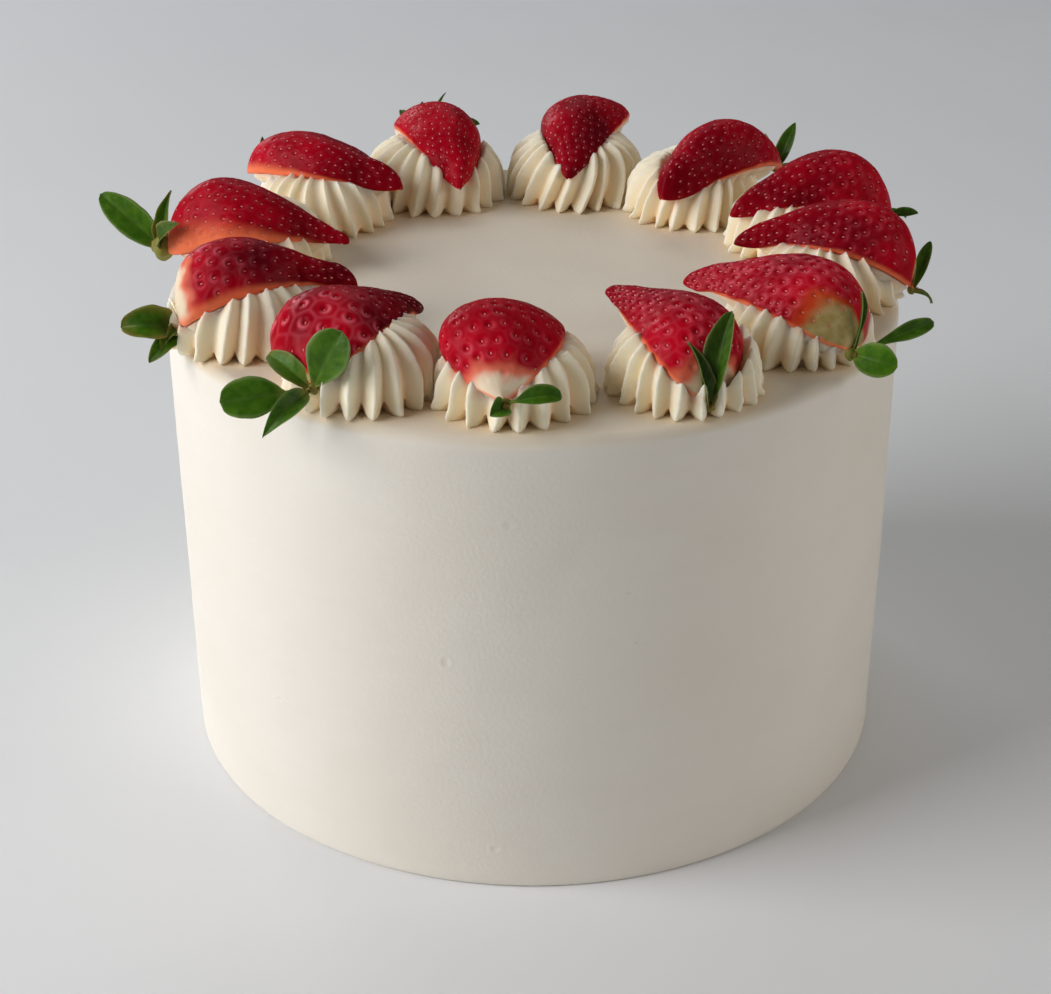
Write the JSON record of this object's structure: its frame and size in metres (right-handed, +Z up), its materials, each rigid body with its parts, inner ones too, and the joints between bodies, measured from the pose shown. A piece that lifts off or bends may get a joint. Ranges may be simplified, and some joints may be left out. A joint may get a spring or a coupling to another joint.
{
  "type": "frosted layer cake with halved strawberries",
  "caption": "Tall round layer cake in smooth pale frosting, with a ring of piped ridged rosettes round the top edge, each carrying a halved strawberry with its leafy cap.",
  "frame": {"origin": "centre of the cake's flat round base", "axes": "+Z up along the cake's axis, -Y towards the front in the picture, +X to the right; X is the wide way across the berry caps"},
  "size_m": [0.2404, 0.2191, 0.1618],
  "materials": {
    "frosting": null,
    "strawberry": null,
    "leaf": null
  },
  "bodies": {
    "root": {"cake_body": "frosting", "rosette_01": "frosting", "rosette_02": "frosting", "rosette_03": "frosting", "rosette_04": "frosting", "rosette_05": "frosting", "rosette_06": "frosting", "rosette_07": "frosting", "rosette_08": "frosting", "rosette_09": "frosting", "rosette_10": "frosting", "rosette_11": "frosting", "rosette_12": "frosting", "strawberry_01": "strawberry", "strawberry_02": "strawberry", "strawberry_03": "strawberry", "strawberry_04": "strawberry", "strawberry_05": "strawberry", "strawberry_06": "strawberry", "strawberry_07": "strawberry", "strawberry_08": "strawberry", "strawberry_09": "strawberry", "strawberry_10": "strawberry", "strawberry_11": "strawberry", "strawberry_12": "strawberry", "calyx_01": "leaf", "calyx_02": "leaf", "calyx_03": "leaf", "calyx_04": "leaf", "calyx_05": "leaf", "calyx_06": "leaf", "calyx_07": "leaf", "calyx_08": "leaf", "calyx_09": "leaf", "calyx_10": "leaf", "calyx_11": "leaf", "calyx_12": "leaf"}
  },
  "joints": []
}
